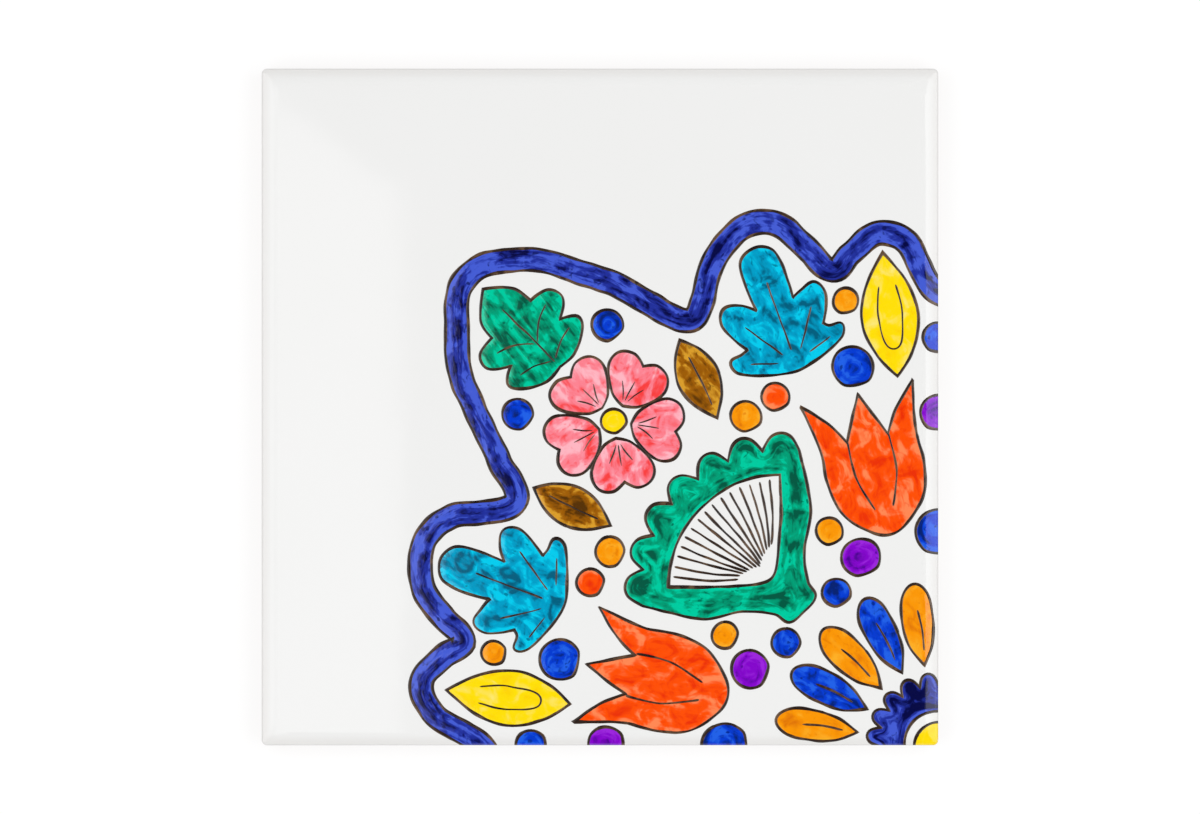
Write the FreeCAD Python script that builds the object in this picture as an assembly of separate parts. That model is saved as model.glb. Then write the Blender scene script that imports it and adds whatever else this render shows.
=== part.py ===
"""A hand-painted azulejo: one pressed and fired red-clay wall tile with a white glazed face.

Millimetres. The origin is the centre of the back, +Z points up through the glazed face,
and X and Y run along the edges. The tile lies on its back.
"""

import FreeCAD
import Part
import math
import os

# Overall size of the tile
tile_side = 150.0
tile_thickness = 7.0

# Corners in plan: tight where the mould's walls meet, rounder where the glaze has run off the flat
side_corner_radius = 1.2
face_corner_radius = 3.2

# Cushion edge of the face: a round arris at the side, a gentle slope, and a soft break into the flat
slope_width = 2.8
slope_drop = 0.75
arris_radius = 0.7
break_radius = 7.0
sections_per_arc = 6

# Side wall: upright below the face, then tapered inwards so that the tile left the mould
upright_foot = 3.0
taper_inset = 0.6
back_bevel = 0.4

# Key on the back: a plain rim round a grid of shallow pockets with ribs between them
rim_width = 6.0
rib_width = 3.0
pockets_per_side = 8
pocket_depth = 0.5
pocket_wall_run = 0.35
pocket_corner_radius = 1.2

# Heights and widths that follow from these
slope_angle = math.atan2(slope_drop, slope_width)
arris_turn = math.pi / 2 - slope_angle
upright_top = tile_thickness - slope_drop - arris_radius * math.tan(arris_turn / 2)
face_inset = slope_width + break_radius * math.tan(slope_angle / 2)
back_side = tile_side - 2 * taper_inset
pocket_pitch = (back_side - 2 * rim_width + rib_width) / pockets_per_side
pocket_side = pocket_pitch - rib_width


def rounded_square(side, radius, height, centre=(0.0, 0.0)):
    """Closed wire of four sides and four corner arcs, level at the given height."""
    reach = side / 2 - radius
    arcs = []
    for quarter in range(4):
        middle = math.pi / 4 + quarter * math.pi / 2
        corner_x = centre[0] + reach * math.copysign(1, math.cos(middle))
        corner_y = centre[1] + reach * math.copysign(1, math.sin(middle))
        turns = (middle - math.pi / 4, middle, middle + math.pi / 4)
        arcs.append([
            FreeCAD.Vector(corner_x + radius * math.cos(a), corner_y + radius * math.sin(a), height)
            for a in turns
        ])
    edges = []
    for arc, following in zip(arcs, arcs[1:] + arcs[:1]):
        edges.append(Part.Arc(*arc).toShape())
        edges.append(Part.LineSegment(arc[-1], following[0]).toShape())
    return Part.Wire(edges)


def level(inset, height):
    """Outline of the tile where it is drawn in by inset from its widest line."""
    share = inset / face_inset
    radius = side_corner_radius + (face_corner_radius - side_corner_radius) * share
    return rounded_square(tile_side - 2 * inset, radius, height)


def arris_levels():
    """Levels up the round arris, from the upright side to the slope."""
    steps = [arris_turn * i / sections_per_arc for i in range(sections_per_arc + 1)]
    return [
        level(arris_radius * (1 - math.cos(a)), upright_top + arris_radius * math.sin(a))
        for a in steps
    ]


def break_levels():
    """Levels over the soft break, from the slope to the flat of the face."""
    steps = [slope_angle * (1 - i / sections_per_arc) for i in range(sections_per_arc + 1)]
    return [
        level(face_inset - break_radius * math.sin(a),
              tile_thickness - break_radius * (1 - math.cos(a)))
        for a in steps
    ]


def straight_layer(lower, upper):
    """Solid between two outlines, with straight walls."""
    return Part.makeLoft([lower, upper], True, True)


def curved_layer(outlines):
    """Solid through several outlines, with walls that curve smoothly from one to the next."""
    return Part.makeLoft(outlines, True, False)


def pressed_body():
    """The tile without its key: bevel, taper, upright side, arris, slope and break, from the back up."""
    back = rounded_square(back_side - 2 * back_bevel, side_corner_radius, 0.0)
    bevel_top = rounded_square(back_side, side_corner_radius, back_bevel)
    taper_top = level(0.0, upright_foot)
    arris = arris_levels()
    soft_break = break_levels()
    layers = [
        straight_layer(back, bevel_top),
        straight_layer(bevel_top, taper_top),
        straight_layer(taper_top, arris[0]),
        curved_layer(arris),
        straight_layer(arris[-1], soft_break[0]),
        curved_layer(soft_break),
    ]
    return layers[0].fuse(layers[1:]).removeSplitter()


def key_pocket(column, row):
    """One shallow pocket of the back, open downwards, with sloping walls and round corners."""
    first = -(pockets_per_side - 1) / 2 * pocket_pitch
    centre = (first + column * pocket_pitch, first + row * pocket_pitch)
    floor_side = pocket_side - 2 * pocket_wall_run
    mouth = rounded_square(pocket_side, pocket_corner_radius, 0.0, centre)
    floor = rounded_square(floor_side, pocket_corner_radius, pocket_depth, centre)
    return straight_layer(mouth, floor)


def glazed_tile():
    """The whole tile: the pressed body less the pockets of its key."""
    places = range(pockets_per_side)
    pockets = [key_pocket(column, row) for column in places for row in places]
    cut = pressed_body().cut(Part.makeCompound(pockets))
    return cut.Solids[0]


os.makedirs("parts", exist_ok=True)
glazed_tile().exportStep("parts/glazed_tile.step")
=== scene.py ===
"""Looks of a hand-painted azulejo: one square of red clay with a white glazed face.

Metres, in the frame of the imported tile: the origin is the centre of the back and +Z points out of
the face. The painting is drawn in millimetres, measured from the tile's painted corner.
"""

import math
import random
from collections import namedtuple

import bpy
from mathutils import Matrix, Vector, noise
from mathutils.geometry import delaunay_2d_cdt, interpolate_bezier
from mathutils.kdtree import KDTree


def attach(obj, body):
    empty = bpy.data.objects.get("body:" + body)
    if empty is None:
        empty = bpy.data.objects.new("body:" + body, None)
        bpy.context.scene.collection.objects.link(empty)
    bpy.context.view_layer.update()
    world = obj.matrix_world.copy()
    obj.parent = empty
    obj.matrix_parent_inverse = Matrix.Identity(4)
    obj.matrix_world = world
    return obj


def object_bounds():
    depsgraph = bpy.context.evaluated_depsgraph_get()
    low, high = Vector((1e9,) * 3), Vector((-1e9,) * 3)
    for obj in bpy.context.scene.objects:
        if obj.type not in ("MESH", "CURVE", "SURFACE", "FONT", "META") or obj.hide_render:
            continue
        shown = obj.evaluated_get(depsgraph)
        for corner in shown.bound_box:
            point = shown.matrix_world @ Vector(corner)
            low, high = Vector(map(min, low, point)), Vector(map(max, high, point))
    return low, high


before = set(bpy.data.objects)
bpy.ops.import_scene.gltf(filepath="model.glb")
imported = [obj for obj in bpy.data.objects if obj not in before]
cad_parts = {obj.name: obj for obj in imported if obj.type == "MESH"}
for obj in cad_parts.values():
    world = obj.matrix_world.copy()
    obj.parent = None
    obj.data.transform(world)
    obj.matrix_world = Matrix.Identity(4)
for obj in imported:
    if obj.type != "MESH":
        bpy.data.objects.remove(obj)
cad_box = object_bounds()


# The tile itself: red clay pressed in a mould, fired, and coated with white tin glaze on its face.
# The glaze runs over the rounded edge and stops in an uneven line near the top of each side. Below
# that line the sides, and the whole of the keyed back, are bare fired clay.

mm = 0.001
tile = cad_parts["glazed_tile"]
white_glaze = (0.872, 0.872, 0.865, 1)
greyer_glaze = (0.855, 0.855, 0.84, 1)
edge_glaze = (0.812, 0.801, 0.787, 1)
thin_glaze = (0.60, 0.44, 0.34, 1)
glaze_roughness = (0.03, 0.06)
glaze_relief = 0.012 * mm
clay_light = (0.50, 0.245, 0.135, 1)
clay_dark = (0.33, 0.14, 0.07, 1)
clay_grit = (0.62, 0.41, 0.28, 1)
# Painted shade: the dark colour inside the pores stands in for their shadow
pore_painted_shade = (0.12, 0.050, 0.028, 1)
# Painted shade: darker clay for the pockets of the keyed back
key_pocket_painted_shade = (0.27, 0.108, 0.055, 1)
clay_roughness = 0.88
clay_relief = 0.12 * mm
key_depth = 0.5 * mm
glaze_line_height = 5.0 * mm
glaze_line_wander = 2.2 * mm
glaze_line_blur = 0.06 * mm
glaze_thins_over = 0.45 * mm
edge_starts = 6.93 * mm
edge_ends = 6.35 * mm


def add(tree, kind, inputs=None, **options):
    """Adds a node to a tree; its inputs are given as values or as sockets of other nodes."""
    node = tree.nodes.new(kind)
    for option, value in options.items():
        setattr(node, option, value)
    for name, value in (inputs or {}).items():
        if isinstance(value, bpy.types.NodeSocket):
            tree.links.new(value, node.inputs[name])
        else:
            node.inputs[name].default_value = value
    return node


def reckon(tree, operation, first, second=0.0):
    """Arithmetic on two values or sockets."""
    return add(tree, "ShaderNodeMath", {0: first, 1: second}, operation=operation).outputs[0]


def spread(tree, value, low, high, new_low=0.0, new_high=1.0):
    """Spreads the range from low to high over a new range, softly at both ends."""
    ends = {"Value": value, "From Min": low, "From Max": high, "To Min": new_low, "To Max": new_high}
    return add(tree, "ShaderNodeMapRange", ends, interpolation_type="SMOOTHSTEP").outputs["Result"]


def mix_colours(tree, share, first, second):
    """The first colour at share 0, the second at share 1."""
    return add(tree, "ShaderNodeMix", {0: share, 6: first, 7: second}, data_type="RGBA").outputs[2]


def cloud(tree, place, scale, detail=2.0, roughness=0.5, distortion=0.0):
    """Soft noise from 0 to 1 over a place."""
    inputs = {"Vector": place, "Scale": scale, "Detail": detail, "Roughness": roughness,
              "Distortion": distortion}
    return add(tree, "ShaderNodeTexNoise", inputs).outputs["Fac"]


def squeezed(tree, place, factors):
    """The place with each axis multiplied by its own factor."""
    return add(tree, "ShaderNodeVectorMath", {0: place, 1: factors}, operation="MULTIPLY").outputs[0]


def new_group(name, inputs, outputs):
    """An empty shader node group; inputs are (name, kind) pairs and outputs too."""
    tree = bpy.data.node_groups.new(name, "ShaderNodeTree")
    for socket_name, kind in inputs:
        tree.interface.new_socket(socket_name, in_out="INPUT", socket_type="NodeSocket" + kind)
    for socket_name, kind in outputs:
        tree.interface.new_socket(socket_name, in_out="OUTPUT", socket_type="NodeSocket" + kind)
    return tree, tree.nodes.new("NodeGroupInput"), tree.nodes.new("NodeGroupOutput")


def new_material(name):
    """A material with an empty tree, its Principled shader and its object coordinates."""
    material = bpy.data.materials.new(name)
    material.use_nodes = True
    tree = material.node_tree
    tree.nodes.clear()
    shader = tree.nodes.new("ShaderNodeBsdfPrincipled")
    tree.links.new(shader.outputs[0], tree.nodes.new("ShaderNodeOutputMaterial").inputs[0])
    place = add(tree, "ShaderNodeTexCoord").outputs["Object"]
    return material, tree, shader, place


def glaze_skin_group():
    """The surface of fired glaze: a slow ripple, a fine peel and a few pinholes."""
    tree, given, result = new_group(
        "glaze_skin", [("Place", "Vector")], [("Height", "Float"), ("Roughness", "Float")])
    place = given.outputs["Place"]
    ripple = cloud(tree, place, 75.0, 1.0)
    peel = cloud(tree, place, 900.0, 1.0)
    cells = add(tree, "ShaderNodeTexVoronoi", {"Vector": place, "Scale": 95.0, "Randomness": 1.0})
    pinhole = spread(tree, cells.outputs["Distance"], 0.012, 0.022, 1.0, 0.0)
    raised = reckon(tree, "ADD", ripple, reckon(tree, "MULTIPLY", peel, 0.02))
    pitted = reckon(tree, "SUBTRACT", raised, reckon(tree, "MULTIPLY", pinhole, 0.25))
    tree.links.new(pitted, result.inputs["Height"])
    patches = cloud(tree, place, 40.0, 3.0)
    tree.links.new(spread(tree, patches, 0.3, 0.7, *glaze_roughness), result.inputs["Roughness"])
    return tree


def ragged(tree, place, scale, reach):
    """The place pushed about by fine noise, so that round spots on it come out ragged."""
    fine = add(tree, "ShaderNodeTexNoise", {"Vector": place, "Scale": scale, "Detail": 2.0})
    from_middle = {0: fine.outputs["Color"], 1: (-0.5, -0.5, -0.5)}
    centred = add(tree, "ShaderNodeVectorMath", from_middle, operation="ADD").outputs[0]
    pushed = {0: centred, 1: (reach, reach, reach), 2: place}
    return add(tree, "ShaderNodeVectorMath", pushed, operation="MULTIPLY_ADD").outputs[0]


def spots(tree, place, scale, reach, share):
    """1 inside scattered spots, which lie in a share of the cells of a scale, and 0 elsewhere."""
    cells = add(tree, "ShaderNodeTexVoronoi", {"Vector": place, "Scale": scale, "Randomness": 1.0})
    inside = spread(tree, cells.outputs["Distance"], 0.7 * reach, reach, 1.0, 0.0)
    lot = add(tree, "ShaderNodeSeparateColor", {0: cells.outputs["Color"]}).outputs[0]
    chosen = spread(tree, lot, share, share + 0.02, 1.0, 0.0)
    return reckon(tree, "MULTIPLY", inside, chosen)


def fired_clay(tree, place):
    """Colour and height of bare red clay: mottled by the kiln, sandy, with pale grog, and pores painted
    dark as shade.
    """
    mottle = spread(tree, cloud(tree, place, 55.0, 4.0, 0.6), 0.3, 0.7)
    grain = cloud(tree, place, 1400.0, 4.0, 0.75)
    sand = cloud(tree, place, 6500.0, 2.0, 0.6)
    body = mix_colours(tree, mottle, clay_dark, clay_light)
    shaded = mix_colours(tree, spread(tree, grain, 0.35, 0.72, 0.0, 0.65), body, clay_dark)
    sanded = mix_colours(tree, spread(tree, sand, 0.5, 0.75, 0.0, 0.4), shaded, clay_grit)
    torn = ragged(tree, place, 2200.0, 0.7 * mm)
    coarse_grog = spots(tree, torn, 520.0, 0.22, 0.10)
    grog = reckon(tree, "MAXIMUM", coarse_grog, spots(tree, torn, 1300.0, 0.32, 0.14))
    wide_pores = spots(tree, torn, 380.0, 0.13, 0.16)
    pores = reckon(tree, "MAXIMUM", wide_pores, spots(tree, torn, 1100.0, 0.22, 0.20))
    coloured = mix_colours(tree, reckon(tree, "MULTIPLY", grog, 0.75), sanded, clay_grit)
    rough = reckon(tree, "ADD", reckon(tree, "MULTIPLY", grain, 0.8), reckon(tree, "MULTIPLY", sand, 0.3))
    hollowed = reckon(tree, "SUBTRACT", rough, pores)
    height = reckon(tree, "ADD", hollowed, reckon(tree, "MULTIPLY", grog, 0.4))
    # The pores are hollowed in the height and coloured dark: painted shade in the pits
    return mix_colours(tree, pores, coloured, pore_painted_shade), height


def tile_finish():
    """White glaze above the glaze line and bare clay below it, on one fired piece."""
    material, tree, shader, place = new_material("tin_glaze_on_red_clay")
    height = add(tree, "ShaderNodeSeparateXYZ", {0: place}).outputs["Z"]
    round_the_tile = squeezed(tree, place, (1.0, 1.0, 0.0))
    wander = reckon(tree, "SUBTRACT", cloud(tree, round_the_tile, 55.0, 5.0, 0.6), 0.5)
    line = reckon(tree, "ADD", reckon(tree, "MULTIPLY", wander, glaze_line_wander), glaze_line_height)
    above = reckon(tree, "SUBTRACT", height, line)
    glazed = spread(tree, above, -glaze_line_blur, glaze_line_blur)
    bare_clay, clay_height = fired_clay(tree, place)
    # Painted shade: the clay down in the pockets of the keyed back is darkened as if shaded, near the back
    # only
    recessed = spread(tree, height, 0.2 * key_depth, 0.9 * key_depth, 0.0, 0.5)
    near_back = spread(tree, height, 1.2 * key_depth, 2.4 * key_depth, 1.0, 0.0)
    key_pocket_shade_share = reckon(tree, "MULTIPLY", recessed, near_back)
    clay_colour = mix_colours(tree, key_pocket_shade_share, bare_clay, key_pocket_painted_shade)
    tone = cloud(tree, place, 26.0, 3.0)
    toned = mix_colours(tree, spread(tree, tone, 0.3, 0.7, 0.0, 0.25), white_glaze, greyer_glaze)
    edge = spread(tree, height, edge_ends, edge_starts, 1.0, 0.0)
    edged = mix_colours(tree, edge, toned, edge_glaze)
    glaze_colour = mix_colours(tree, spread(tree, above, 0.0, glaze_thins_over), thin_glaze, edged)
    tree.links.new(mix_colours(tree, glazed, clay_colour, glaze_colour), shader.inputs["Base Color"])
    skin = add(tree, "ShaderNodeGroup", {"Place": place}, node_tree=glaze_skin)
    dull = reckon(tree, "SUBTRACT", clay_roughness, reckon(tree, "MULTIPLY", glazed, clay_roughness))
    gloss = reckon(tree, "MULTIPLY", skin.outputs["Roughness"], glazed)
    tree.links.new(reckon(tree, "ADD", dull, gloss), shader.inputs["Roughness"])
    sandy = {"Height": clay_height, "Strength": 0.7, "Distance": clay_relief}
    rough_clay = add(tree, "ShaderNodeBump", sandy).outputs[0]
    rippled = {"Height": skin.outputs["Height"], "Strength": 1.0, "Distance": glaze_relief}
    smooth_glaze = add(tree, "ShaderNodeBump", rippled).outputs[0]
    normal = add(tree, "ShaderNodeMix", {0: glazed, 4: rough_clay, 5: smooth_glaze}, data_type="VECTOR")
    tree.links.new(normal.outputs[1], shader.inputs["Normal"])
    return material


glaze_skin = glaze_skin_group()
tile.material_slots[0].material = tile_finish()


# The cobalt band: a scalloped border painted round the whole figure with a flat brush, and then
# edged on both sides with a fine dark liner. Its ends run over the rounded edges of the tile, where
# the pattern goes on over the next tile. All paint is metal oxide fired into the white glaze.

Sheet = namedtuple("Sheet", "points faces insets lifts flows")
hand_seed = 31
chance = random.Random(hand_seed)
noise.seed_set(hand_seed)
painted_corner = Vector((cad_box[1][0], cad_box[0][1])) / mm
diagonal = 135
paint_depth = 0.05 * mm
liner_depth = 0.085 * mm
sunk_in_glaze = 0.05 * mm
corner_radius = 1.2
paint_stops = 0.06
bend_insets = (0.12, 0.2, 0.32, 0.48, 0.8)
smooth_angle = 50
drift_length = 16
tremble_length = 3.5
pressure_length = 4.0
stroke_edge = 0.15
liner_width = 0.70
liner_overlap = 6
vein_width = 0.56
thick_paint_dulls = 0.06
thick_paint_rises = 0.8
band_width = 5.0

# The band's middle line, as degrees from the diagonal and mm from the painted corner
band_line = [
    (0, 147), (4.9, 139.8), (8.8, 127.5), (12.0, 115.8), (14.6, 108.7), (17.2, 111.5), (20, 118.8),
    (24, 122.5), (28, 120.2), (30.8, 113.5), (32.8, 108), (35, 111.3), (38, 115), (41, 112),
    (43.2, 104.5), (45, 100.3), (48, 99),
]


def set_down(knots, angle=0.0, reach=0.0, lean=0.0, side=1):
    """Moves knots drawn upright at the origin onto the tile: reach is their distance from the painted
    corner, on a ray at an angle in degrees from the diagonal. Lean turns them about their foot, and
    side -1 mirrors them in the diagonal."""
    ray = math.radians(diagonal - side * angle)
    upright = math.radians(diagonal - side * (angle + lean))
    foot = painted_corner + Vector((math.cos(ray), math.sin(ray))) * reach
    outward = Vector((math.cos(upright), math.sin(upright)))
    across = Vector((outward.y, -outward.x)) * side
    return [(*(foot + across * knot[0] + outward * knot[1]), *knot[2:]) for knot in knots]


def smooth_path(knots, closed=True, spacing=0.5):
    """Points along a smooth line through the knots. A knot with a third value is a sharp point."""
    places = [Vector(knot[:2]) for knot in knots]
    headings = []
    for i, knot in enumerate(knots):
        following = places[(i + 1) % len(places)]
        free = len(knot) > 2 or not closed and i in (0, len(knots) - 1)
        headings.append(Vector((0, 0)) if free else (following - places[i - 1]).normalized())
    path = []
    for i in range(len(places) if closed else len(places) - 1):
        j = (i + 1) % len(places)
        pull = (places[j] - places[i]).length / 3
        steps = max(3, round(3 * pull / spacing) + 1)
        leaving = places[i] + headings[i] * pull
        arriving = places[j] - headings[j] * pull
        path += interpolate_bezier(places[i], leaving, arriving, places[j], steps)[:-1]
    return path if closed else path + [places[-1]]


def by_hand(path, drift=0.5, tremble=0.1):
    """The path as a hand draws it: it drifts slowly off its line, and trembles a little."""
    seed = chance.uniform(0, 900)
    drawn = []
    for p in path:
        slow = noise.noise_vector(Vector((p.x / drift_length, p.y / drift_length, seed))).xy
        quick = noise.noise_vector(Vector((p.x / tremble_length, p.y / tremble_length, seed + 50))).xy
        drawn.append(p + slow * drift + quick * tremble)
    return drawn


def both_sides(half):
    """A whole outline from its right half, which starts and ends on the middle line."""
    return half + [(-knot[0], *knot[1:]) for knot in reversed(half) if abs(knot[0]) > 0.01]


def brush_stroke(path, width, columns, unevenness, tapered=False):
    """A stroke of paint along a path, highest along its middle and mitred at its corners. A tapered one
    thins out at both ends."""
    points, faces, insets, lifts, flows = [], [], [], [], []
    seed = chance.uniform(0, 900)
    travelled = 0.0
    for i, place in enumerate(path):
        before = path[max(i - 1, 0)]
        after = path[min(i + 1, len(path) - 1)]
        travelled += (place - before).length
        heading = (after - before).normalized()
        right = Vector((heading.y, -heading.x))
        mitre = 1.0 / max(0.6, heading.dot((place - before).normalized())) if i else 1.0
        pressure = 1 + unevenness * noise.noise(Vector((travelled / pressure_length, seed, 0)))
        lifting_off = min(1.0, 0.25 + 0.25 * min(i, len(path) - 1 - i)) if tapered else 1.0
        half = width / 2 * pressure * lifting_off
        for column in range(columns):
            share = 2 * column / (columns - 1) - 1
            points.append(place + right * half * share * mitre)
            insets.append(half * (1 - abs(share)))
            lifts.append(stroke_edge + (1 - stroke_edge) * math.sqrt(max(0.0, 1 - share * share)))
            flows.append((half * share + seed, travelled, 0.0))
    for i in range(len(path) - 1):
        for column in range(columns - 1):
            first = i * columns + column
            faces.append((first, first + 1, first + columns + 1, first + columns))
    return Sheet(points, faces, insets, lifts, flows)


def liner_stroke(path, closed=True, width=liner_width):
    """A fine dark line. Round a closed outline, it starts on one side and overlaps its own start."""
    if closed:
        start = len(path) // 5
        path = path[start:] + path[:start + liner_overlap]
    return brush_stroke(path, width, columns=5, unevenness=0.45, tapered=True)


def offset_path(path, distance):
    """The path moved to its right by a distance."""
    moved = []
    for i, place in enumerate(path):
        heading = (path[min(i + 1, len(path) - 1)] - path[max(i - 1, 0)]).normalized()
        moved.append(place + Vector((heading.y, -heading.x)) * distance)
    return moved


def face_height(x, y):
    """Height of the tile's face at a place."""
    above = Vector((x, y, cad_box[1][2]))
    found, place, _, _ = tile.ray_cast(above + Vector((0, 0, mm)), Vector((0, 0, -1)))
    return place.z if found else tile.closest_point_on_mesh(above)[1].z


def cut_at_edges():
    """Trims a flat sheet of paint at the tile's two painted edges and gives it vertices to bend there."""
    right, near = cad_box[1][0], cad_box[0][1]
    for inset in (paint_stops, *bend_insets):
        trim = inset == paint_stops
        right_plane = ((right - inset * mm, 0, 0), (1, 0, 0))
        near_plane = ((0, near + inset * mm, 0), (0, -1, 0))
        for plane, away in (right_plane, near_plane):
            bpy.ops.mesh.select_all(action="SELECT")
            bpy.ops.mesh.bisect(plane_co=plane, plane_no=away, clear_outer=trim, threshold=1e-7)


def round_the_corner(place):
    """The place, or the nearest one to it on the tile where its corner is rounded off."""
    centre = (painted_corner + Vector((-corner_radius, corner_radius))) * mm
    away = place - centre
    reach = (corner_radius - paint_stops) * mm
    if away.x > 0 and away.y < 0 and away.length > reach:
        return centre + away.normalized() * reach
    return place


def only(piece):
    """Makes one object the only selected and active one."""
    bpy.ops.object.select_all(action="DESELECT")
    piece.select_set(True)
    bpy.context.view_layer.objects.active = piece


def lay_paint(name, sheets, material, depth):
    """Lays sheets of paint on the tile as one closed piece that follows its face."""
    points, faces, insets, lifts, flows = [], [], [], [], []
    for sheet in sheets:
        faces += [tuple(corner + len(points) for corner in face) for face in sheet.faces]
        points += sheet.points
        insets += sheet.insets
        lifts += sheet.lifts
        flows += sheet.flows
    mesh = bpy.data.meshes.new(name)
    mesh.from_pydata([(p.x * mm, p.y * mm, 0.0) for p in points], [], faces)
    flow_values = [value for flow in flows for value in flow]
    mesh.attributes.new("flow", "FLOAT_VECTOR", "POINT").data.foreach_set("vector", flow_values)
    mesh.attributes.new("inset", "FLOAT", "POINT").data.foreach_set("value", insets)
    mesh.attributes.new("lift", "FLOAT", "POINT").data.foreach_set("value", lifts)
    piece = bpy.data.objects.new(name, mesh)
    bpy.context.scene.collection.objects.link(piece)
    only(piece)
    bpy.ops.object.mode_set(mode="EDIT")
    bpy.ops.mesh.select_all(action="SELECT")
    bpy.ops.mesh.delete_loose()
    cut_at_edges()
    bpy.ops.object.mode_set(mode="OBJECT")
    for vertex, lift in zip(mesh.vertices, mesh.attributes["lift"].data):
        vertex.co.xy = round_the_corner(vertex.co.xy)
        vertex.co.z = face_height(vertex.co.x, vertex.co.y) + depth * lift.value
    bpy.ops.object.mode_set(mode="EDIT")
    bpy.ops.mesh.select_all(action="SELECT")
    bpy.ops.mesh.extrude_region_move(TRANSFORM_OT_translate={"value": (0, 0, -depth - sunk_in_glaze)})
    bpy.ops.mesh.select_all(action="SELECT")
    bpy.ops.mesh.flip_normals()
    bpy.ops.object.mode_set(mode="OBJECT")
    mesh.attributes.remove(mesh.attributes["lift"])
    bpy.ops.object.shade_smooth_by_angle(angle=math.radians(smooth_angle))
    mesh.materials.append(material)
    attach(piece, "root")
    return piece


def brushed_wash_group():
    """Oxide paint laid on with a soft brush: streaks along the stroke, pools, specks and a paler rim.
    Flow is in mm: x across the stroke, y and z along it. Inset is the distance in mm from the edge."""
    tree, given, result = new_group(
        "brushed_wash",
        [("Flow", "Vector"), ("Inset", "Float"), ("Thin", "Color"), ("Body", "Color"), ("Deep", "Color"),
         ("Streaks", "Float"), ("Pools", "Float"), ("Specks", "Float"), ("Rim", "Float")],
        [("Color", "Color"), ("Depth", "Float")])
    flow = given.outputs["Flow"]
    along = squeezed(tree, flow, (0.8, 0.15, 0.15))
    about = squeezed(tree, flow, (0.9, 0.7, 0.7))
    streak = reckon(tree, "SUBTRACT", cloud(tree, along, 0.8, 2.0, 0.5, 0.6), 0.5)
    bristles = reckon(tree, "SUBTRACT", cloud(tree, along, 4.5, 1.0), 0.5)
    pool = reckon(tree, "SUBTRACT", cloud(tree, about, 0.30, 3.0, 0.5, 0.9), 0.5)
    dabs = spread(tree, cloud(tree, about, 0.75, 1.5, 0.5, 0.9), 0.60, 0.76)
    specks = spots(tree, ragged(tree, about, 1.2, 0.6), 0.42, 0.16, 0.30)
    rim = spread(tree, given.outputs["Inset"], 0.3, 1.6, given.outputs["Rim"], 0.0)
    brushed = reckon(tree, "ADD", streak, reckon(tree, "MULTIPLY", bristles, 0.18))
    streaked = reckon(tree, "MULTIPLY", brushed, given.outputs["Streaks"])
    pooled = reckon(tree, "MULTIPLY", pool, given.outputs["Pools"])
    even = reckon(tree, "ADD", reckon(tree, "ADD", streaked, pooled), 0.5)
    depth = reckon(tree, "SUBTRACT", even, rim)
    light = mix_colours(tree, spread(tree, depth, 0.0, 0.5), given.outputs["Thin"], given.outputs["Body"])
    full = mix_colours(tree, spread(tree, depth, 0.5, 1.1), light, given.outputs["Deep"])
    marks = reckon(tree, "MULTIPLY", reckon(tree, "MAXIMUM", dabs, specks), given.outputs["Specks"])
    tree.links.new(mix_colours(tree, marks, full, given.outputs["Deep"]), result.inputs["Color"])
    tree.links.new(depth, result.inputs["Depth"])
    return tree


def paint_finish(name, thin, body, deep, streaks=2.2, pools=2.8, specks=0.75, rim=0.35):
    """One colour of paint under the gloss of the glaze."""
    material, tree, shader, place = new_material(name)
    flow = add(tree, "ShaderNodeAttribute", attribute_name="flow").outputs["Vector"]
    inset = add(tree, "ShaderNodeAttribute", attribute_name="inset").outputs["Fac"]
    settings = {"Flow": flow, "Inset": inset, "Thin": thin, "Body": body, "Deep": deep,
                "Streaks": streaks, "Pools": pools, "Specks": specks, "Rim": rim}
    wash = add(tree, "ShaderNodeGroup", settings, node_tree=brushed_wash)
    tree.links.new(wash.outputs["Color"], shader.inputs["Base Color"])
    skin = add(tree, "ShaderNodeGroup", {"Place": place}, node_tree=glaze_skin)
    matter = reckon(tree, "MULTIPLY", wash.outputs["Depth"], thick_paint_dulls)
    tree.links.new(reckon(tree, "ADD", skin.outputs["Roughness"], matter), shader.inputs["Roughness"])
    body_height = reckon(tree, "MULTIPLY", wash.outputs["Depth"], thick_paint_rises)
    height = reckon(tree, "ADD", skin.outputs["Height"], body_height)
    bump = add(tree, "ShaderNodeBump", {"Height": height, "Strength": 1.0, "Distance": glaze_relief})
    tree.links.new(bump.outputs[0], shader.inputs["Normal"])
    return material


brushed_wash = brushed_wash_group()
cobalt = paint_finish(
    "cobalt_paint", (0.060, 0.11, 0.66, 1), (0.016, 0.030, 0.33, 1), (0.001, 0.002, 0.060, 1),
    streaks=3.4, pools=2.4)
liner = paint_finish(
    "liner_paint", (0.13, 0.075, 0.042, 1), (0.036, 0.021, 0.014, 1), (0.012, 0.008, 0.008, 1),
    streaks=2.0, pools=2.0, rim=0.05)

half_band = [(reach * math.sin(math.radians(angle)), reach * math.cos(math.radians(angle)))
             for angle, reach in band_line]
whole_band = [(-x, y) for x, y in reversed(half_band[1:])] + half_band
band_path = by_hand(smooth_path(set_down(whole_band), closed=False), drift=1.4, tremble=0.2)
band_edges = [by_hand(offset_path(band_path, side * band_width / 2), drift=0.25, tremble=0.15)
              for side in (-1, 1)]
band = brush_stroke(band_path, band_width, columns=9, unevenness=0.12)
lay_paint("cobalt_band", [band], cobalt, paint_depth)
band_lines = [liner_stroke(edge, closed=False) for edge in band_edges]
lay_paint("cobalt_band_lines", band_lines, liner, liner_depth)


# The fan: the largest motif, on the diagonal. Its border is emerald, brushed between two liner lines,
# and its middle is left white, with fine liner ribs that spread out from the foot.

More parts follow.
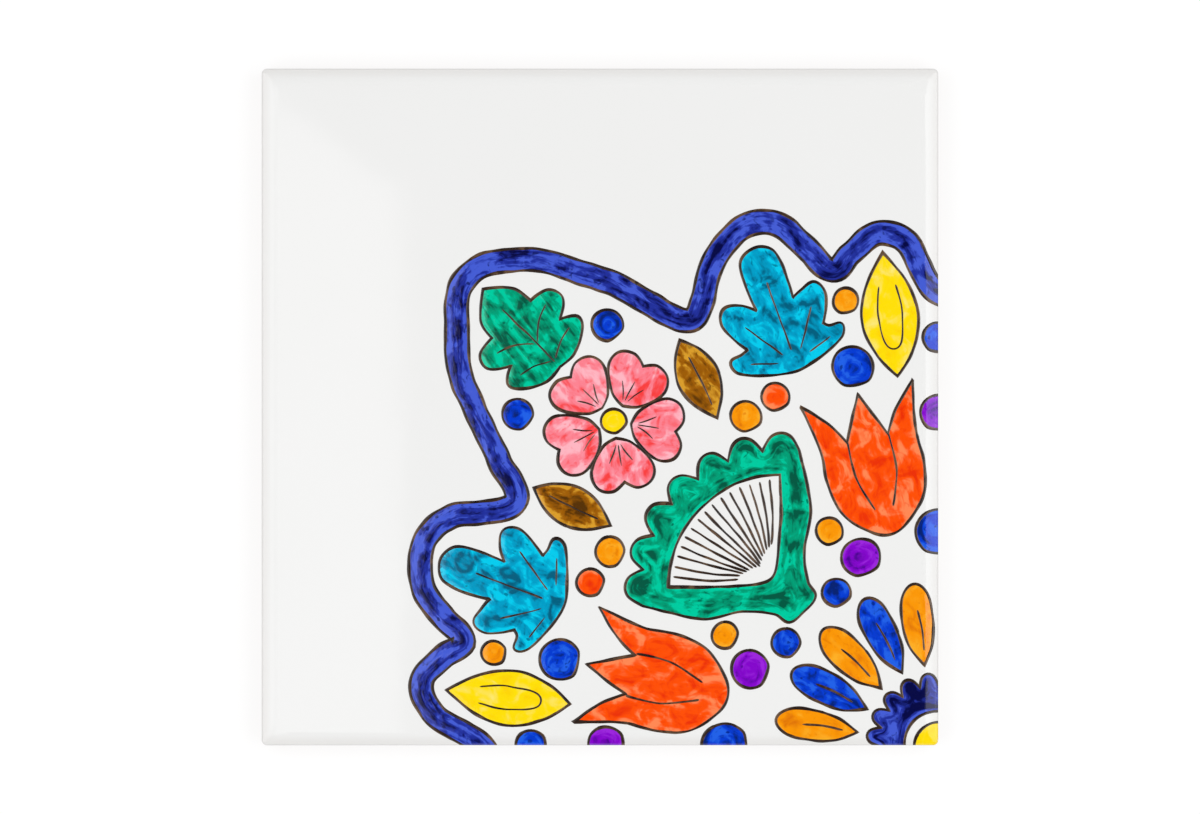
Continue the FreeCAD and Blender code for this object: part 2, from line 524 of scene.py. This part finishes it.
fan_reach = 42
fan_lobes = 7
fan_spread = 104
fan_foot = 7.0
fan_cusp = 31.0
fan_crest = 34.6
fan_border = 5.6
fan_inside = [(0, 10.2), (2.6, 11.2), (6.0, 13.9), (12.0, 19.2), (17.7, 25.1, True)]
ribs_per_side = 7
rib_step = 5.4
rib_start = 7.0
rib_middle = 16
rib_width = 0.55
pool_edge = 0.3
pool_slope = 0.7


def polar(angle, reach, foot=0.0):
    """A knot at an angle from the upright and a distance from a foot above the origin."""
    return (reach * math.sin(math.radians(angle)), foot + reach * math.cos(math.radians(angle)))


def paint_pool(path, hole=None, brush=None, pitch=0.8):
    """An area of paint inside a closed path, less a hole. Its brush marks run along the direction given
    in radians, or follow its edge."""
    edge = path + (hole or [])
    tree = KDTree(len(edge))
    for i, point in enumerate(edge):
        tree.insert(point.to_3d(), i)
    tree.balance()
    low = [min(p[axis] for p in path) for axis in (0, 1)]
    counts = [int((max(p[axis] for p in path) - low[axis]) / pitch) for axis in (0, 1)]
    grid = [Vector((low[0] + pitch * (i + 0.5), low[1] + pitch * (j + 0.5)))
            for i in range(counts[0]) for j in range(counts[1])]
    inner = [p for p in grid if tree.find(p.to_3d())[2] > 0.5 * pitch]
    loops = [list(range(len(path)))] + ([list(range(len(path), len(edge)))] if hole else [])
    points, _, faces, _, _, _ = delaunay_2d_cdt(edge + inner, [], loops, 2, 1e-5)
    insets = [tree.find(p.to_3d())[2] for p in points]
    lifts = [pool_edge + (1 - pool_edge) * min(1.0, inset / pool_slope) for inset in insets]
    seed = chance.uniform(0, 900)
    if brush is None:
        flows = [(inset + seed, p.x, p.y) for p, inset in zip(points, insets)]
    else:
        along = Vector((math.cos(brush), math.sin(brush)))
        across = Vector((along.y, -along.x))
        flows = [(p.dot(across) + seed, p.dot(along), 0.0) for p in points]
    return Sheet(points, faces, insets, lifts, flows)


def turned(angle=0.0, reach=0.0, lean=0.0, side=1):
    """The direction in radians of a motif's upright at its place, for its brush marks, a little off as
    a hand would have it. Its reach makes no difference."""
    return math.radians(diagonal - side * (angle + lean)) + chance.uniform(-0.3, 0.3)


def drawn(knots, *place, drift=0.5):
    """The outline of one motif, drawn by hand at its place on the tile."""
    return by_hand(smooth_path(set_down(knots, *place)), drift)


def drawn_line(knots, *place, drift=0.3):
    """One open line, drawn by hand at its place on the tile."""
    return by_hand(smooth_path(set_down(knots, *place), closed=False), drift)


def paint_motifs(name, outlines, brushes, material, lines=()):
    """Fills each outline with one colour, a little off the line, and goes round it with the liner."""
    fills = [paint_pool(by_hand(outline, 0.3), brush=brush) for outline, brush in zip(outlines, brushes)]
    lay_paint(name, fills, material, paint_depth)
    edges = [liner_stroke(outline) for outline in outlines] + list(lines)
    lay_paint(name + "_lines", edges, liner, liner_depth)


emerald = paint_finish(
    "emerald_paint", (0.0, 0.60, 0.35, 1), (0.0, 0.34, 0.18, 1), (0.0, 0.100, 0.055, 1),
    streaks=2.6, pools=3.2)
fan_step = fan_spread / fan_lobes
fan_outline = [(0, 0), (4.0, 0.6), (5.0, 4.0), (9.5, 9.5), (17.0, 15.0)]
for lobe in range(fan_lobes // 2 + 1):
    crest = fan_spread / 2 - (lobe + 0.5) * fan_step
    fan_outline.append((*polar(crest + fan_step / 2, fan_cusp, fan_foot), True))
    fan_outline.append(polar(crest + fan_step / 4, fan_crest - 0.8, fan_foot))
    fan_outline.append(polar(crest, fan_crest, fan_foot))
    if crest > 0.1:
        fan_outline.append(polar(crest - fan_step / 4, fan_crest - 0.8, fan_foot))
fan_outer = drawn(both_sides(fan_outline), 0, fan_reach)
inner_top = fan_cusp - fan_border
inner_half = fan_inside + [polar(angle, inner_top, fan_foot) for angle in (34, 17, 0)]
fan_inner = drawn(both_sides(inner_half), 0, fan_reach)
fan_lines = [liner_stroke(fan_outer), liner_stroke(fan_inner)]
for rib in range(-ribs_per_side, ribs_per_side + 1):
    rib_angle = rib * rib_step
    rib_line = [polar(rib_angle * 0.85, rib_start + abs(rib) * 0.45, fan_foot),
                polar(rib_angle, rib_middle, fan_foot), polar(rib_angle * 1.02, inner_top - 1.0, fan_foot)]
    fan_lines.append(liner_stroke(drawn_line(rib_line, 0, fan_reach), False, rib_width))
lay_paint("emerald_fan", [paint_pool(by_hand(fan_outer, 0.3), by_hand(fan_inner, 0.3))],
          emerald, paint_depth)
lay_paint("emerald_fan_lines", fan_lines, liner, liner_depth)


# The corner: a quarter of the figure's centre. A small yellow disc lies in the painted corner, inside
# a cobalt ring whose outer edge is scalloped. Both go on over the three next tiles.

disc_radius = 5.2
ring_inside = 7.4
ring_cusp = 13.2
ring_crest = 16.0
ring_step = 18


def dot(radius):
    """Knots of a small circle."""
    return [polar(angle, radius) for angle in range(-150, 180, 30)]


yellow = paint_finish(
    "yellow_paint", (0.98, 0.82, 0.20, 1), (1.0, 0.74, 0.002, 1), (0.98, 0.60, 0.0, 1),
    streaks=0.4, pools=1.6, specks=0.0, rim=0.0)
paint_motifs("yellow_disc", [drawn(dot(disc_radius))], [None], yellow)
ring_outline = [polar(angle, ring_inside) for angle in range(-60, 61, 15)]
for cusp in range(63, -64, -ring_step):
    ring_outline.append((*polar(cusp, ring_cusp), True))
    if cusp > -63:
        ring_outline += [polar(cusp - ring_step * share, ring_crest - drop)
                         for share, drop in ((0.22, 0.7), (0.5, 0), (0.78, 0.7))]
paint_motifs("cobalt_ring", [drawn(ring_outline)], [None], cobalt)


# The petals: five of a daisy round the corner, orange and blue by turns. Each is brushed outwards,
# outlined, and given a short liner vein.

petal_angles = (-36, -18, 0, 18, 36)
petal_reach = 18.2
petal_shape = both_sides([(0, 0, True), (2.6, 4.6), (3.5, 10.4), (2.8, 15.6), (0, 18)])
petal_vein = [(0, 3.2), (0.3, 7.6), (0, 12.2)]

orange = paint_finish(
    "orange_paint", (0.98, 0.43, 0.020, 1), (0.96, 0.31, 0.001, 1), (0.72, 0.16, 0.0, 1),
    streaks=0.7, pools=2.0, specks=0.5, rim=0.1)
blue = paint_finish(
    "blue_paint", (0.016, 0.12, 0.80, 1), (0.001, 0.044, 0.64, 1), (0.001, 0.016, 0.17, 1),
    streaks=1.4, pools=3.4, rim=0.12)
for material, slot, angles in (
        (orange, "orange_paint", petal_angles[::2]), (blue, "blue_paint", petal_angles[1::2])):
    petals = [drawn(petal_shape, angle, petal_reach) for angle in angles]
    brushes = [turned(angle) for angle in angles]
    veins = [liner_stroke(drawn_line(petal_vein, angle, petal_reach), False) for angle in angles]
    paint_motifs(slot.replace("_paint", "_petals"), petals, brushes, material, veins)


# The tulips: a pair in orange red, one on each side of the fan, brushed from foot to tip. Two liner
# lines part the outer petals from the middle one.

tulip_angle = 32
tulip_reach = 48
tulip_shape = both_sides([
    (0, 0), (4, 1.5), (9.2, 7), (10.9, 14), (10.8, 21), (12.8, 32, True), (7.8, 27), (4.6, 22, True),
    (0, 32, True)])
tulip_line = [(4.6, 22), (4.6, 14), (2.0, 6)]

orange_red = paint_finish(
    "orange_red_paint", (1.0, 0.25, 0.09, 1), (1.0, 0.080, 0.001, 1), (0.84, 0.030, 0.0, 1),
    streaks=0.9, pools=2.6, specks=0.35, rim=0.25)
tulips = [drawn(tulip_shape, tulip_angle, tulip_reach, 0, side) for side in (-1, 1)]
brushes = [turned(tulip_angle, side=side) for side in (-1, 1)]
tulip_lines = []
for side in (-1, 1):
    for flip in (-1, 1):
        line = drawn_line([(x * flip, y) for x, y in tulip_line], tulip_angle, tulip_reach, 0, side)
        tulip_lines.append(liner_stroke(line, closed=False))
paint_motifs("orange_red_tulips", tulips, brushes, orange_red, tulip_lines)


# The palmettes: a pair in turquoise, of five lobes each, one in the scallop of the band on each side
# of its tip. The paint lies thick and uneven, and a liner vein runs up each lobe.

palmette_angle = 24.6
palmette_reach = 88.5
lobe_peaks = ((-62, 15.2), (-31, 21.6), (0, 29), (31, 20.2), (62, 14.4))
lobe_clefts = ((-46.5, 12.2), (-15.5, 16.4), (15.5, 16.4), (46.5, 12.2))

turquoise = paint_finish(
    "turquoise_paint", (0.002, 0.60, 0.85, 1), (0.0, 0.34, 0.57, 1), (0.0, 0.115, 0.21, 1),
    streaks=0.9, pools=3.6)
palmette_shape = [(2.6, 0.5), (-2.6, 0.5)]
for lobe, (peak, length) in enumerate(lobe_peaks):
    for swing, drop in ((-9, 2.2), (0, 0), (9, 2.2)):
        palmette_shape.append(polar(peak + swing, length - drop))
    if lobe < len(lobe_clefts):
        palmette_shape.append((*polar(*lobe_clefts[lobe]), True))
palmettes = [drawn(palmette_shape, palmette_angle, palmette_reach, 0, side) for side in (-1, 1)]
brushes = [turned(palmette_angle, side=side) for side in (-1, 1)]
veins = [liner_stroke(drawn_line([polar(peak * 0.8, 5), polar(peak, length * 0.72)],
                                 palmette_angle, palmette_reach, 0, side), False, vein_width)
         for side in (-1, 1) for peak, length in lobe_peaks]
paint_motifs("turquoise_palmettes", palmettes, brushes, turquoise, veins)


# The rose: five notched pink petals about a yellow heart, on the diagonal above the fan. The pink lies
# thin and pools unevenly, and three fine liner stamens run up each petal.

rose_reach = 101.5
rose_petal = both_sides([
    (0, 3.8, True), (3.2, 5.2), (6.8, 10.3), (6.2, 14.0), (2.9, 15.4), (0, 13.8, True)])
rose_stamens = [
    [(-0.5, 5.2), (-1.3, 7.0), (-2.6, 9.0)],
    [(0, 5.2), (0, 8.0), (0, 10.0)],
    [(0.5, 5.2), (1.3, 7.0), (2.6, 9.0)]]
stamen_width = 0.5
rose_turns = range(0, 360, 72)
heart_radius = 2.7

pink = paint_finish(
    "pink_paint", (1.0, 0.47, 0.54, 1), (0.98, 0.23, 0.29, 1), (0.95, 0.050, 0.050, 1),
    streaks=1.1, pools=3.4, specks=0.6, rim=0.1)
petals = [drawn(rose_petal, 0, rose_reach, turn) for turn in rose_turns]
brushes = [turned(0, lean=turn) for turn in rose_turns]
stamens = [liner_stroke(drawn_line(stamen, 0, rose_reach, turn), False, stamen_width)
           for turn in rose_turns for stamen in rose_stamens]
paint_motifs("pink_rose", petals, brushes, pink, stamens)
heart = drawn(dot(heart_radius), 0, rose_reach)
paint_motifs("yellow_heart", [heart], [None], yellow)


# The leaves: a lobed emerald leaf above the rose, in the tip of the band, and a brown lancet on each
# side of the rose. The leaf has five fine liner veins and each lancet one.

leaf_reach = 118.6
leaf_shape = both_sides([
    (0, 0, True), (4.2, -0.2), (9.4, 2.6), (10.8, 5.4), (7.5, 7.6, True), (11.5, 10.8), (10.4, 14.2),
    (6.0, 14.8, True), (5.2, 19.4), (0, 24, True)])
middle_vein = [(0, 1.7), (0.2, 10), (0, 18)]
side_veins = [[(0.6, 2.2), (4.2, 4.1), (7.6, 4.8)], [(0.4, 7.5), (4.0, 10.6), (7.6, 12.0)]]
lancet = both_sides([(0, 0, True), (3.4, 5.0), (4.5, 10.5), (2.8, 15.6), (0, 19, True)])
lancet_vein = [(0, 3), (0.2, 9), (0, 15)]
lancet_angle = 11.1
lancet_reach = 87.5
lancet_lean = 8

leaf = drawn(leaf_shape, 0, leaf_reach)
leaf_veins = [middle_vein] + [[(x * flip, y) for x, y in vein] for vein in side_veins for flip in (1, -1)]
veins = [liner_stroke(drawn_line(vein, 0, leaf_reach), False, vein_width) for vein in leaf_veins]
paint_motifs("emerald_leaf", [leaf], [turned()], emerald, veins)

brown = paint_finish(
    "brown_paint", (0.70, 0.34, 0.025, 1), (0.34, 0.110, 0.002, 1), (0.095, 0.032, 0.001, 1),
    streaks=1.6, pools=3.2)
lancet_places = [(lancet_angle, lancet_reach, lancet_lean, side) for side in (-1, 1)]
lancets = [drawn(lancet, *place) for place in lancet_places]
brushes = [turned(*place) for place in lancet_places]
veins = [liner_stroke(drawn_line(lancet_vein, *place), False, vein_width) for place in lancet_places]
paint_motifs("brown_lancets", lancets, brushes, brown, veins)


# The buds: a yellow pair in the outer scallops of the band, near the tile's edges. The yellow is the
# evenest of the paints, and each bud has one liner loop inside it.

bud_angle = 38.6
bud_reach = 82.5
bud_shape = both_sides([(0, 0, True), (4.0, 5), (6.2, 12), (4.5, 20), (0, 27.5, True)])
bud_line = [(-1.8, 20), (-2.6, 13), (0, 6), (2.6, 13), (1.8, 20)]

buds = [drawn(bud_shape, bud_angle, bud_reach, 0, side) for side in (-1, 1)]
brushes = [turned(bud_angle, side=side) for side in (-1, 1)]
lines = [liner_stroke(drawn_line(bud_line, bud_angle, bud_reach, 0, side), False, vein_width)
         for side in (-1, 1)]
paint_motifs("yellow_buds", buds, brushes, yellow, lines)


# The berries: single dots of paint that fill the gaps between the motifs. Those on the tile's edges
# are cut in half there, and go on over the next tile.

# Degrees from the diagonal, mm from the painted corner, and radius in mm
blue_berries = [
    (11.4, 40.9, 3.1), (45.0, 47.5, 5.0), (32.1, 86.0, 4.4), (45.0, 90.4, 3.3), (6.8, 118.6, 3.4)]
orange_berries = [(17.8, 53.3, 2.9), (14.5, 84.6, 3.3), (33.2, 100.7, 2.7)]
purple_berries = [(22.8, 45.2, 4.1), (45.0, 73.6, 4.0)]
orange_red_berries = [(20.0, 85.4, 3.0)]

purple = paint_finish(
    "purple_paint", (0.33, 0.020, 0.72, 1), (0.23, 0.001, 0.60, 1), (0.070, 0.0, 0.28, 1),
    streaks=1.4, pools=2.4)
for material, slot, berries in (
        (blue, "blue_paint", blue_berries), (orange, "orange_paint", orange_berries),
        (purple, "purple_paint", purple_berries), (orange_red, "orange_red_paint", orange_red_berries)):
    dots = [drawn(dot(radius), angle, reach, 0, side)
            for side in (-1, 1) for angle, reach, radius in berries]
    paint_motifs(slot.replace("_paint", "_berries"), dots, [None] * len(dots), material)


# The studio: a plain white floor under the tile, a softbox on each side, a pale card for the bright
# left part of the glaze, a dark cloth overhead that keeps the gloss deep, and a long lens straight down.

floor_lit_share = 0.18
floor_bounce = 0.45
floor_size = 6.0
floor_height = -0.02 * mm
light_on_floor = 0.9
opening_under_tile = 0.1476
cloth_size = (3.0, 4.0)
cloth_height = 2.0
cloth_glow = 0.02
card_size = (0.22, 0.60)
card_middle = -0.06
card_height = 0.9
card_edge = -0.070
card_corner = 0.076
card_slant = (0.58, 0.81, 0)
card_glow = 1.1
softbox_size = (0.8, 1.36)
softbox_side = 0.75
softbox_near = -0.08
softbox_height = 0.95
left_power = 5.5
right_power = 6.5
surround_glow = 0.535
camera_height = 1.5
tile_share_of_frame = 0.832
photo_width = 1200
photo_height = 814


def stage_plane(name, size, place):
    """A level sheet of the studio."""
    bpy.ops.mesh.primitive_plane_add(size=1, location=place)
    card = bpy.context.object
    card.name = name
    card.scale = (*size, 1)
    only(card)
    bpy.ops.object.transform_apply(location=True, rotation=True, scale=True)
    return card


def camera_like_rays(tree):
    """1 for rays from the camera and for what gloss and glass show of the background."""
    rays = tree.nodes.new("ShaderNodeLightPath")
    seen = reckon(tree, "MAXIMUM", rays.outputs["Is Camera Ray"], rays.outputs["Is Glossy Ray"])
    return reckon(tree, "MAXIMUM", seen, rays.outputs["Is Transmission Ray"])


def floor_finish():
    """White paper: part of its white is its own light, so that the tile's shadow stays faint. It is
    clear from below, so that the back of the tile can be looked at."""
    material = bpy.data.materials.new("white_paper")
    material.use_nodes = True
    tree = material.node_tree
    tree.nodes.clear()
    paper = add(tree, "ShaderNodeBsdfDiffuse", {"Color": (floor_lit_share,) * 3 + (1,)})
    glow = add(tree, "ShaderNodeEmission", {"Color": (1, 1, 1, 1)})
    full_glow = 1.0 - light_on_floor * floor_lit_share
    strength = spread(tree, camera_like_rays(tree), 0.0, 1.0, floor_bounce, full_glow)
    tree.links.new(strength, glow.inputs["Strength"])
    both = add(tree, "ShaderNodeAddShader", {0: paper.outputs[0], 1: glow.outputs[0]})
    from_below = add(tree, "ShaderNodeNewGeometry").outputs["Backfacing"]
    clear = add(tree, "ShaderNodeBsdfTransparent")
    one_way = add(tree, "ShaderNodeMixShader", {0: from_below, 1: both.outputs[0], 2: clear.outputs[0]})
    tree.links.new(one_way.outputs[0], tree.nodes.new("ShaderNodeOutputMaterial").inputs[0])
    return material


def plain_glow(name, strength):
    """A card that shines evenly."""
    material = bpy.data.materials.new(name)
    material.use_nodes = True
    tree = material.node_tree
    tree.nodes.clear()
    glow = add(tree, "ShaderNodeEmission", {"Color": (1, 1, 1, 1), "Strength": strength})
    tree.links.new(glow.outputs[0], tree.nodes.new("ShaderNodeOutputMaterial").inputs[0])
    return material


def seen_in_gloss_only(card):
    """Hides a card from everything but reflections."""
    card.visible_camera = False
    card.visible_diffuse = False
    card.visible_shadow = False
    card.visible_transmission = False


def softbox(side, power):
    """A large area lamp to one side of the tile, aimed at it."""
    data = bpy.data.lights.new("softbox", "AREA")
    data.shape = "RECTANGLE"
    data.size, data.size_y = softbox_size
    data.energy = power
    lamp = bpy.data.objects.new("softbox", data)
    lamp.location = (side * softbox_side, softbox_near, softbox_height)
    lamp.rotation_euler = (0, side * math.atan2(softbox_side, softbox_height), 0)
    bpy.context.scene.collection.objects.link(lamp)


floor = stage_plane("floor", (floor_size, floor_size), (0, 0, floor_height))
bpy.ops.object.mode_set(mode="EDIT")
bpy.ops.mesh.select_all(action="SELECT")
bpy.ops.mesh.inset(thickness=(floor_size - opening_under_tile) / 2)
bpy.ops.mesh.delete(type="FACE")
bpy.ops.object.mode_set(mode="OBJECT")
floor.data.materials.append(floor_finish())

cloth = stage_plane("dark_cloth", cloth_size, (0, 0, cloth_height))
cloth.data.materials.append(plain_glow("dark_cloth", cloth_glow))
seen_in_gloss_only(cloth)

card = stage_plane("pale_card", card_size, (card_edge - card_size[0] / 2, card_middle, card_height))
bpy.ops.object.mode_set(mode="EDIT")
bpy.ops.mesh.select_all(action="SELECT")
bpy.ops.mesh.bisect(plane_co=(card_edge, card_corner, card_height), plane_no=card_slant, clear_outer=True)
bpy.ops.object.mode_set(mode="OBJECT")
card.data.materials.append(plain_glow("pale_card", card_glow))
seen_in_gloss_only(card)

softbox(-1, left_power)
softbox(1, right_power)

world = bpy.data.worlds.new("studio")
world.use_nodes = True
bpy.context.scene.world = world
background = world.node_tree.nodes["Background"]
background.inputs["Color"].default_value = (1, 1, 1, 1)
seen_directly = camera_like_rays(world.node_tree)
world_strength = spread(world.node_tree, seen_directly, 0.0, 1.0, surround_glow, 1.0)
world.node_tree.links.new(world_strength, background.inputs["Strength"])

lens = bpy.data.cameras.new("camera")
camera = bpy.data.objects.new("camera", lens)
bpy.context.scene.collection.objects.link(camera)
bpy.context.scene.camera = camera
camera.location = (0, 0, camera_height)
frame_height = (cad_box[1][0] - cad_box[0][0]) / tile_share_of_frame
frame_width = frame_height * photo_width / photo_height
lens.sensor_width = 36.0
lens.lens = lens.sensor_width * (camera_height - cad_box[1][2]) / frame_width
bpy.context.scene.view_settings.view_transform = "Standard"
